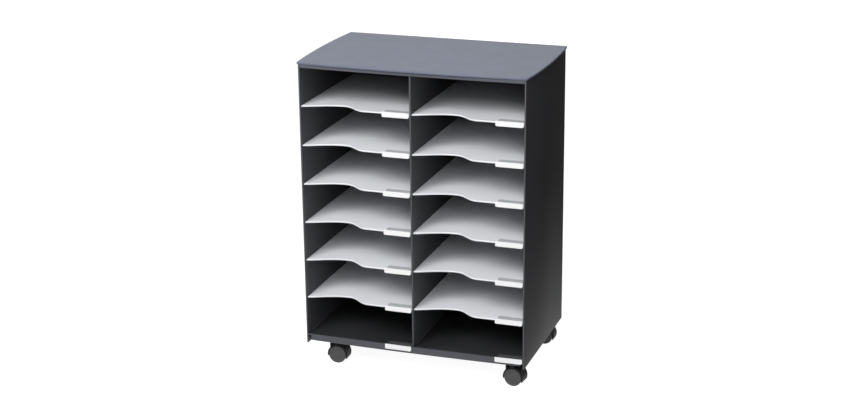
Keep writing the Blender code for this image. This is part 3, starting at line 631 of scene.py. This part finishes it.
class CABINET_OT_stage(bpy.types.Operator):
    """Adds the floor, the world's light, the lamps and the camera"""

    bl_idname = "cabinet.stage"
    bl_label = "Studio"

    def execute(self, context):
        settings = context.scene.cabinet_stage
        context.scene.view_settings.view_transform = "Standard"
        self.add_floor(settings)
        self.set_world(settings)
        for name, (place, size, watts) in LAMPS.items():
            self.add_lamp(name, place, size, watts)
        self.add_dark_card()
        camera = bpy.data.objects.new("camera", bpy.data.cameras.new("camera"))
        context.scene.collection.objects.link(camera)
        camera.location = (settings.camera_x, settings.camera_y, settings.camera_z)
        camera.rotation_euler = Euler((settings.tilt, settings.roll, settings.heading), "XYZ")
        camera.data.lens = settings.lens
        camera.data.sensor_width = SENSOR_WIDTH
        camera.data.clip_end = CLIP_END
        context.scene.camera = camera
        return {"FINISHED"}

    @staticmethod
    def white_to_the_eye(tree):
        """1 for rays that show the background itself, and 0 for those that light the object."""
        path = tree.nodes.new("ShaderNodeLightPath")
        seen = path.outputs["Is Camera Ray"]
        for output in ("Is Glossy Ray", "Is Transmission Ray"):
            add = tree.nodes.new("ShaderNodeMath")
            add.operation = "MAXIMUM"
            tree.links.new(seen, add.inputs[0])
            tree.links.new(path.outputs[output], add.inputs[1])
            seen = add.outputs[0]
        return seen

    def add_floor(self, settings):
        calm()
        bpy.ops.mesh.primitive_circle_add(
            vertices=ROUND_SIDES,
            radius=FLOOR_RADIUS,
            fill_type="NGON",
            location=(0, 0, -FLOOR_DROP),
        )
        floor = started("floor")
        made = Nodes("studio_floor")
        reach = made.add("ShaderNodeVectorMath", operation="LENGTH")
        made.link(made.coordinates, "Object", reach, "Vector")
        fade = made.add(
            "ShaderNodeMapRange", {"From Min": FLOOR_FADE[0], "From Max": FLOOR_FADE[1]}
        )
        made.link(reach, "Value", fade, "Value")
        ramp = made.add("ShaderNodeValToRGB")
        ramp.color_ramp.elements[0].color = (*settings.floor, 1)
        far = [value * FLOOR_FAR_SHARE for value in settings.floor]
        ramp.color_ramp.elements[1].color = (*far, 1)
        made.link(fade, "Result", ramp, "Fac")
        made.link(ramp, "Color", made.shader, "Base Color")
        made.shader.inputs["Roughness"].default_value = MATT
        made.shader.inputs["Specular IOR Level"].default_value = 0.0
        made.shader.inputs["Emission Color"].default_value = (1, 1, 1, 1)
        glow = made.add("ShaderNodeMapRange", {"To Min": FLOOR_GLOW[0], "To Max": FLOOR_GLOW[1]})
        made.link(fade, "Result", glow, "Value")
        dim = made.add("ShaderNodeMath", operation="MULTIPLY")
        made.tree.links.new(self.white_to_the_eye(made.tree), dim.inputs[0])
        made.tree.links.new(glow.outputs["Result"], dim.inputs[1])
        made.tree.links.new(dim.outputs[0], made.shader.inputs["Emission Strength"])
        floor.data.materials.append(made.material)

    @staticmethod
    def add_dark_card():
        """A dark card to the right, paler towards the floor, for that side panel to reflect."""
        calm()
        bpy.ops.mesh.primitive_plane_add(size=1, rotation=(0, math.pi / 2, 0))
        flag = bpy.context.object
        flag.scale = (*DARK_CARD_SIZE, 1)
        flag.location = DARK_CARD_PLACE
        flag = started("dark_card")
        dark = Nodes("card_dark")
        low = dark.along("Z", {"From Min": DARK_CARD_FADE_HEIGHT, "From Max": 0.0})
        curve = dark.add("ShaderNodeMath", operation="POWER")
        curve.inputs[1].default_value = DARK_CARD_FADE_POWER
        dark.tree.links.new(low.outputs["Result"], curve.inputs[0])
        tone = dark.add(
            "ShaderNodeMapRange", {"To Min": DARK_CARD_GLOW[0], "To Max": DARK_CARD_GLOW[1]}
        )
        dark.tree.links.new(curve.outputs[0], tone.inputs["Value"])
        dark.link(tone, "Result", dark.shader, "Emission Strength")
        dark.shader.inputs["Emission Color"].default_value = (1, 1, 1, 1)
        dark.shader.inputs["Base Color"].default_value = (0, 0, 0, 1)
        dark.shader.inputs["Roughness"].default_value = MATT
        dark.shader.inputs["Specular IOR Level"].default_value = 0.0
        flag.data.materials.append(dark.material)
        flag.visible_camera = False
        flag.visible_diffuse = False
        flag.visible_shadow = False

    def set_world(self, settings):
        world = bpy.data.worlds.new("studio")
        world.use_nodes = True
        tree = world.node_tree
        background = tree.nodes["Background"]
        background.inputs["Color"].default_value = (1, 1, 1, 1)
        strength = tree.nodes.new("ShaderNodeMapRange")
        strength.inputs["To Min"].default_value = settings.ambient
        strength.inputs["To Max"].default_value = 1.0
        tree.links.new(self.white_to_the_eye(tree), strength.inputs["Value"])
        tree.links.new(strength.outputs["Result"], background.inputs["Strength"])
        bpy.context.scene.world = world

    @staticmethod
    def add_lamp(name, place, size, watts):
        lamp = bpy.data.lights.new(name, "AREA")
        lamp.shape = "DISK"
        lamp.size = size
        lamp.energy = watts
        item = bpy.data.objects.new(name, lamp)
        item.location = place
        aim = Vector(LAMP_TARGET) - Vector(place)
        item.rotation_euler = aim.to_track_quat("-Z", "Y").to_euler()
        bpy.context.scene.collection.objects.link(item)


class CABINET_OT_lid(bpy.types.Operator):
    """Models the bowed lid with its rounded edge and the pegs below it"""

    bl_idname = "cabinet.lid"
    bl_label = "Lid"

    def execute(self, context):
        settings = context.scene.cabinet_lid
        low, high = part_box("lid")
        peg_foot = low.z
        panel_low, panel_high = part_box("top_panel")
        bottom = panel_high.z + LID_GAP
        half = high.x - settings.side_bow
        front = low.y + settings.front_bow
        calm()
        bpy.ops.mesh.primitive_grid_add(
            x_subdivisions=LID_GRID[0],
            y_subdivisions=LID_GRID[1],
            size=1,
            location=(0, 0, high.z),
        )
        lid = started("lid_moulded")
        for vert in lid.data.vertices:
            across = vert.co.x + 0.5
            back = vert.co.y + 0.5
            vert.co.x = (2 * across - 1) * (half + bow(back, settings.side_bow))
            near = front - bow(across, settings.front_bow)
            vert.co.y = near + (high.y - near) * back
        begin_edit(lid, "VERT")
        choose(lid, "verts", lambda vert: len(vert.link_edges) == 2)
        bpy.ops.mesh.bevel(offset=settings.corner_radius, segments=6, affect="VERTICES")
        end_edit(tidy=True)
        modify(lid, "SOLIDIFY", thickness=high.z - bottom, offset=-1, use_even_offset=True)
        middle = (high.z + bottom) / 2
        begin_edit(lid, "EDGE")
        choose(lid, "edges", lambda edge: self.on_rim(edge) and edge.verts[0].co.z > middle)
        bpy.ops.mesh.bevel(offset=settings.edge_radius, segments=5, affect="EDGES")
        choose(lid, "edges", lambda edge: self.on_rim(edge) and edge.verts[0].co.z < middle)
        bpy.ops.mesh.bevel(offset=settings.lower_radius, segments=3, affect="EDGES")
        end_edit()
        peg_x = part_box("side_panel_right")[1].x - settings.panel - settings.peg_inset
        front_peg_y = panel_low.y + FRONT_PEG_STEP + settings.peg_inset
        rear_peg_y = panel_high.y - settings.peg_inset
        for side in (-1, 1):
            for y in (front_peg_y, rear_peg_y):
                bpy.ops.mesh.primitive_cylinder_add(
                    vertices=PEG_SIDES,
                    radius=settings.peg_radius,
                    depth=bottom - peg_foot + PEG_SINK,
                    location=(side * peg_x, y, (bottom + peg_foot + PEG_SINK) / 2),
                )
                peg = started("peg")
                round_edges(peg, PEG_ROUNDING)
                combine(lid, peg, "UNION")
        smooth(lid)
        finish(lid, material("lid_plastic_grained"), CABINET, ("lid",))
        return {"FINISHED"}

    @staticmethod
    def on_rim(edge):
        """Whether an edge belongs to the outline of the lid's upper or lower face."""
        level = abs(edge.verts[0].co.z - edge.verts[1].co.z) < SAME_PLACE
        return level and edge.calc_face_angle(0) > RIM_ANGLE


class CABINET_OT_carcass(bpy.types.Operator):
    """Rounds the edges of the side panels, divider, back panel, top panel and base trays"""

    bl_idname = "cabinet.carcass"
    bl_label = "Carcass"

    def execute(self, context):
        looks = {  # node: material, radius of the rounded edges
            "side_panel_left": ("carcass_plastic", 0.0006),
            "side_panel_right": ("carcass_plastic", 0.0006),
            "divider": ("carcass_plastic", 0.0006),
            "back_panel": ("carcass_plastic", 0.0005),
            # the top panel's plastic is the anthracite with painted light
            "top_panel": ("rail_plastic", 0.0007),
            # the trays' plastic has painted sheen on the front and painted shade on the floor
            "base_tray_left": ("tray_plastic", 0.0005),
            "base_tray_right": ("tray_plastic", 0.0005),
        }
        for node, (plastic, radius) in looks.items():
            softened(node, material(plastic), radius)
        return {"FINISHED"}


class CABINET_OT_shelves(bpy.types.Operator):
    """Models one shelf with its wavy rim and copies it to every row of both bays"""

    bl_idname = "cabinet.shelves"
    bl_label = "Shelves"

    def execute(self, context):
        settings = context.scene.cabinet_shelf
        low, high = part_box("shelf_left_1")
        origin_y = low.y
        width = high.x - low.x
        calm()
        bpy.ops.mesh.primitive_grid_add(
            x_subdivisions=SHELF_GRID[0], y_subdivisions=SHELF_GRID[1], size=1, location=(0, 0, 0)
        )
        sheet = started("shelf_master")
        for vert in sheet.data.vertices:
            across = vert.co.x + 0.5
            back = vert.co.y + 0.5
            near = self.depth(settings, across * width)
            vert.co.x = across * width
            vert.co.y = near + (high.y - low.y - near) * back**SHELF_PACKING
        begin_edit(sheet, "EDGE")
        choose(sheet, "edges", lambda edge: edge.is_boundary and self.at_front(edge))
        bpy.ops.mesh.extrude_region_move(
            TRANSFORM_OT_translate={"value": (0, 0, -settings.rim_height)}
        )
        end_edit(tidy=True)
        if sum(face.normal.z * face.area for face in sheet.data.polygons) < 0:
            sheet.data.flip_normals()
        modify(sheet, "SOLIDIFY", thickness=settings.thickness, offset=-1, use_even_offset=True)
        round_edges(sheet, settings.edge_radius, segments=3, degrees=50)
        smooth(sheet)
        for bay in BAYS:
            for row in range(1, ROWS):
                node = f"shelf_{bay}_{row}"
                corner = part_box(node)
                place = Matrix.Translation((corner[0].x, origin_y, corner[1].z))
                shelf = copied(sheet, node + "_moulded", place)
                finish(shelf, material("shelf_plastic"), CABINET, (node,))
        bpy.data.objects.remove(sheet)
        return {"FINISHED"}

    @staticmethod
    def depth(settings, x):
        """How far the front edge lies behind its straight part."""
        fall_start = settings.rise + settings.flat
        if x <= settings.rise:
            part = math.sin(math.pi / 2 * max(x, 0) / settings.rise) ** settings.fullness
            return settings.left_depth + (settings.recess_depth - settings.left_depth) * part
        if x <= fall_start:
            return settings.recess_depth
        if x < fall_start + settings.fall:
            part = (x - fall_start) / settings.fall
            return settings.recess_depth * (1 + math.cos(math.pi * part)) / 2
        return 0.0

    @staticmethod
    def at_front(edge):
        middle = (edge.verts[0].co + edge.verts[1].co) / 2
        along = abs(edge.verts[0].co.x - edge.verts[1].co.x)
        return along > SHORTEST_ALONG and middle.y < FRONT_ZONE


class CABINET_OT_label_holders(bpy.types.Operator):
    """Rounds the clear label holders and slips a blank card in each"""

    bl_idname = "cabinet.label_holders"
    bl_label = "Label holders"

    def execute(self, context):
        settings = context.scene.cabinet_holder
        master = node_copy("label_holder_left_1", "holder_master")
        master.data.transform(Matrix.Translation(-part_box("label_holder_left_1")[0]))
        round_edges(master, HOLDER_ROUNDING)
        smooth(master)
        card = self.card(settings)
        for bay in BAYS:
            for row in range(1, ROWS + 1):
                node = f"label_holder_{bay}_{row}"
                turn = self.tray_turn(settings, node) if row == ROWS else 0.0
                matrix = self.place(master, node, turn)
                holder = copied(master, node + "_moulded", matrix)
                finish(holder, material("holder_plastic"), CABINET, (node,))
                slip = copied(card, f"label_card_{bay}_{row}", matrix)
                finish(slip, material("label_card"), CABINET)
        bpy.data.objects.remove(master)
        bpy.data.objects.remove(card)
        return {"FINISHED"}

    @staticmethod
    def tray_turn(settings, node):
        """Turn about Z that the bowed front edge of a base tray has at this holder's middle."""
        low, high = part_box(node)
        width = 2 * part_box("side_panel_right")[1].x
        return math.atan(4 * settings.tray_bow * (low.x + high.x) / width**2)

    @staticmethod
    def place(master, node, turn):
        """Matrix that turns the master and brings its lowest corner to the node's."""
        spin = Matrix.Rotation(turn, 4, "Z")
        points = [spin @ vert.co for vert in master.data.vertices]
        corner = Vector(min(point[axis] for point in points) for axis in range(3))
        return Matrix.Translation(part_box(node)[0] - corner) @ spin

    @staticmethod
    def card(settings):
        """A thin card with rounded corners, from the holder's lowest left front corner."""
        low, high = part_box("label_holder_left_1")
        width = high.x - low.x - 2 * settings.card_margin
        height = high.z - low.z - settings.card_bottom - settings.card_top
        calm()
        bpy.ops.mesh.primitive_plane_add(size=1, rotation=(math.pi / 2, 0, 0))
        card = bpy.context.object
        card.scale = (width, height, 1)
        card.location = (
            settings.card_margin + width / 2,
            settings.card_setback,
            settings.card_bottom + height / 2,
        )
        card = started("card_master")
        begin_edit(card, "VERT")
        corner_x = settings.card_margin + width
        cut = settings.chamfer * CHAMFER_SHARE
        mid_height = settings.card_bottom + height / 2
        choose(card, "verts", lambda vert: vert.co.z < mid_height and vert.co.x < corner_x / 2)
        bpy.ops.mesh.bevel(offset=settings.low_corner, segments=4, affect="VERTICES")
        choose(card, "verts", lambda vert: vert.co.z > mid_height)
        bpy.ops.mesh.bevel(offset=settings.card_corner, segments=3, affect="VERTICES")
        bpy.ops.mesh.select_all(action="SELECT")
        bpy.ops.mesh.bisect(
            plane_co=(corner_x - cut, settings.card_setback, settings.card_bottom),
            plane_no=(1, 0, -1),
            clear_outer=True,
        )
        end_edit(tidy=True)
        modify(card, "SOLIDIFY", thickness=settings.card_thickness, offset=0)
        return card


class CABINET_OT_casters(bpy.types.Operator):
    """Models one twin-wheel caster and places it at each stem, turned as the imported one"""

    bl_idname = "cabinet.casters"
    bl_label = "Casters"

    def execute(self, context):
        settings = context.scene.cabinet_caster
        joints = {joint["child"]: joint for joint in frame["joints"]}
        trail = None
        wheel = self.wheel(settings)
        for key in CASTERS:
            stem = Vector(joints[f"{key}_swivel"]["pos_m"])
            near = Vector(joints[f"{key}_wheel_front"]["pos_m"])
            far = Vector(joints[f"{key}_wheel_rear"]["pos_m"])
            middle = (near + far) / 2
            reach = Vector((middle.x - stem.x, middle.y - stem.y, 0))
            turn = Matrix.Rotation(math.atan2(reach.y, reach.x), 4, "Z")
            if trail is None:
                trail = reach.length
                housing = self.housing(settings, trail, middle.z)
            ground = Matrix.Translation((stem.x, stem.y, 0)) @ turn
            body = copied(housing, f"caster_{key}_hood", ground)
            node = f"caster_{key}_housing"
            finish(body, material("housing_plastic"), f"{key}_swivel", (node,))
            axle = Matrix.Translation(middle) @ turn
            back = axle @ Matrix.Rotation(math.pi, 4, "Z")
            satin = material("wheel_plastic_satin")
            for end, matrix in (("front", axle), ("rear", back)):
                disc = copied(wheel, f"caster_{key}_tyre_{end}", matrix)
                node = f"caster_{key}_wheel_{end}"
                finish(disc, satin, f"{key}_wheel_{end}", (node,))
            plastic = material("socket_plastic_satin")
            softened(f"caster_{key}_socket", plastic, SOCKET_ROUNDING)
        bpy.data.objects.remove(wheel)
        bpy.data.objects.remove(housing)
        return {"FINISHED"}

    @staticmethod
    def wheel(settings):
        """The wheel on the web's -Y side, its closed face to -Y, about the axle at the origin."""
        inner = -(settings.web / 2 + settings.side_gap)
        width = settings.wheel_width
        outer = inner - width
        calm()
        bpy.ops.mesh.primitive_cylinder_add(
            vertices=ROUND_SIDES,
            radius=settings.wheel_radius,
            depth=width,
            rotation=(math.pi / 2, 0, 0),
            location=(0, (inner + outer) / 2, 0),
        )
        wheel = started("wheel_master")

        def is_cap(face, y):
            """Whether a face lies flat across the axle, at this place along it."""
            near = abs(face.calc_center_median().y - y) < SAME_PLACE
            return near and abs(face.normal.y) > FACING

        def choose_ring(least, most):
            """Selects the inner cap's faces between two radii."""

            def within(face):
                reach = [math.hypot(vert.co.x, vert.co.z) for vert in face.verts]
                return least - REACH_SLACK < min(reach) and max(reach) < most + REACH_SLACK

            choose(wheel, "faces", lambda face: is_cap(face, inner) and within(face))

        def sink():
            """Pushes the selected faces in, up to the wall of the closed face."""
            depth = width - settings.wheel_wall
            bpy.ops.mesh.extrude_region_move(TRANSFORM_OT_translate={"value": (0, -depth, 0)})

        begin_edit(wheel)
        choose(wheel, "faces", lambda face: is_cap(face, outer))
        bpy.ops.mesh.inset(thickness=settings.wheel_radius * WHEEL_RIM_SHARE)
        bpy.ops.mesh.inset(thickness=WHEEL_STEP)
        bpy.ops.transform.translate(value=(0, WHEEL_STEP, 0))
        bpy.ops.mesh.inset(thickness=WHEEL_DISH)
        bpy.ops.mesh.inset(thickness=WHEEL_HUB_SLOPE)
        bpy.ops.transform.translate(value=(0, -WHEEL_HUB_RISE, 0))
        choose(wheel, "faces", lambda face: is_cap(face, inner))
        rim = settings.wheel_radius - settings.wheel_wall
        bpy.ops.mesh.inset(thickness=settings.wheel_wall)
        bpy.ops.mesh.inset(thickness=rim - settings.hub_radius)
        bpy.ops.mesh.inset(thickness=settings.hub_radius - AXLE_BORE)
        choose_ring(settings.hub_radius, rim)
        sink()
        choose_ring(0.0, AXLE_BORE)
        sink()
        end_edit(tidy=True)
        round_edges(wheel, settings.tread_round / 2, segments=3)
        smooth(wheel)
        return wheel

    @staticmethod
    def housing(settings, trail, axle_height):
        """Hood, web and collar about the stem's axis; the axle lies at +X."""
        inner = settings.wheel_radius + settings.hood_gap
        outer = inner + settings.hood_wall
        half = settings.web / 2 + settings.side_gap + settings.wheel_width - settings.hood_setback
        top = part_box("caster_front_left_housing")[1].z

        def drum(radius, depth, y=0.0):
            """A cylinder along Y about the axle."""
            calm()
            bpy.ops.mesh.primitive_cylinder_add(
                vertices=ROUND_SIDES,
                radius=radius,
                depth=depth,
                rotation=(math.pi / 2, 0, 0),
                location=(trail, y, axle_height),
            )
            return started("drum")

        hood = drum(outer, 2 * half)
        hood.name = "housing_master"
        lead = trail - math.sqrt(outer**2 - settings.lead_drop**2)
        far = trail + math.sqrt(outer**2 - settings.trail_drop**2)
        begin_edit(hood)
        bpy.ops.mesh.select_all(action="SELECT")
        bpy.ops.mesh.bisect(
            plane_co=(lead, 0, axle_height - settings.lead_drop),
            plane_no=(settings.trail_drop - settings.lead_drop, 0, far - lead),
            clear_inner=True,
            use_fill=True,
        )
        end_edit(tidy=True)
        calm()
        bpy.ops.mesh.primitive_cylinder_add(
            vertices=ROUND_SIDES,
            radius=settings.collar_radius,
            depth=top - axle_height,
            location=(0, 0, (top + axle_height) / 2),
        )
        combine(hood, started("collar"), "UNION")
        combine(hood, drum(settings.web_radius, settings.web), "UNION")
        for side in (-1, 1):
            beside_web = side * (settings.web / 2 + CUTTER / 2)
            combine(hood, drum(inner, CUTTER, beside_web), "DIFFERENCE")
        combine(hood, drum(AXLE_BORE, CUTTER), "DIFFERENCE")
        calm()
        bore = settings.stem_radius + STEM_BORE_ROOM
        bore_foot = axle_height + math.sqrt(inner**2 - (trail - bore) ** 2) + STEM_BORE_FLOOR
        bpy.ops.mesh.primitive_cylinder_add(
            vertices=ROUND_SIDES // 2,
            radius=bore,
            depth=CUTTER,
            location=(0, 0, bore_foot + CUTTER / 2),
        )
        combine(hood, started("bore"), "DIFFERENCE")
        round_edges(hood, settings.edge_radius, segments=3, degrees=35)
        smooth(hood)
        return hood


class CABINET_OT_plain_metal(bpy.types.Operator):
    """Gives the stems and axles their steel"""

    bl_idname = "cabinet.plain_metal"
    bl_label = "Stems and axles"

    def execute(self, context):
        for key in CASTERS:
            for part in ("stem", "axle"):
                node = frame["nodes"][f"caster_{key}_{part}"]
                node.data.materials.clear()
                node.data.materials.append(material("drawn_steel"))
        return {"FINISHED"}


class CABINET_PT_sidebar(bpy.types.Panel):
    bl_idname = "CABINET_PT_sidebar"
    bl_label = "Pigeonhole cabinet"
    bl_space_type = "VIEW_3D"
    bl_region_type = "UI"
    bl_category = "Cabinet"

    def draw(self, context):
        for operator in OPERATORS:
            self.layout.operator(operator.bl_idname)


OPERATORS = (
    CABINET_OT_stage,
    CABINET_OT_lid,
    CABINET_OT_carcass,
    CABINET_OT_shelves,
    CABINET_OT_label_holders,
    CABINET_OT_casters,
    CABINET_OT_plain_metal,
)


def register():
    for group in GROUPS.values():
        bpy.utils.register_class(group)
    for name, group in GROUPS.items():
        setattr(bpy.types.Scene, name, bpy.props.PointerProperty(type=group))
    for operator in OPERATORS:
        bpy.utils.register_class(operator)
    bpy.utils.register_class(CABINET_PT_sidebar)


def unregister():
    bpy.utils.unregister_class(CABINET_PT_sidebar)
    for operator in reversed(OPERATORS):
        bpy.utils.unregister_class(operator)
    for name, group in GROUPS.items():
        delattr(bpy.types.Scene, name)
        bpy.utils.unregister_class(group)


def main():
    register()
    bpy.ops.cabinet.stage()
    bpy.ops.cabinet.lid()
    bpy.ops.cabinet.carcass()
    bpy.ops.cabinet.shelves()
    bpy.ops.cabinet.label_holders()
    bpy.ops.cabinet.casters()
    bpy.ops.cabinet.plain_metal()
    calm()


if __name__ == "__main__":
    main()
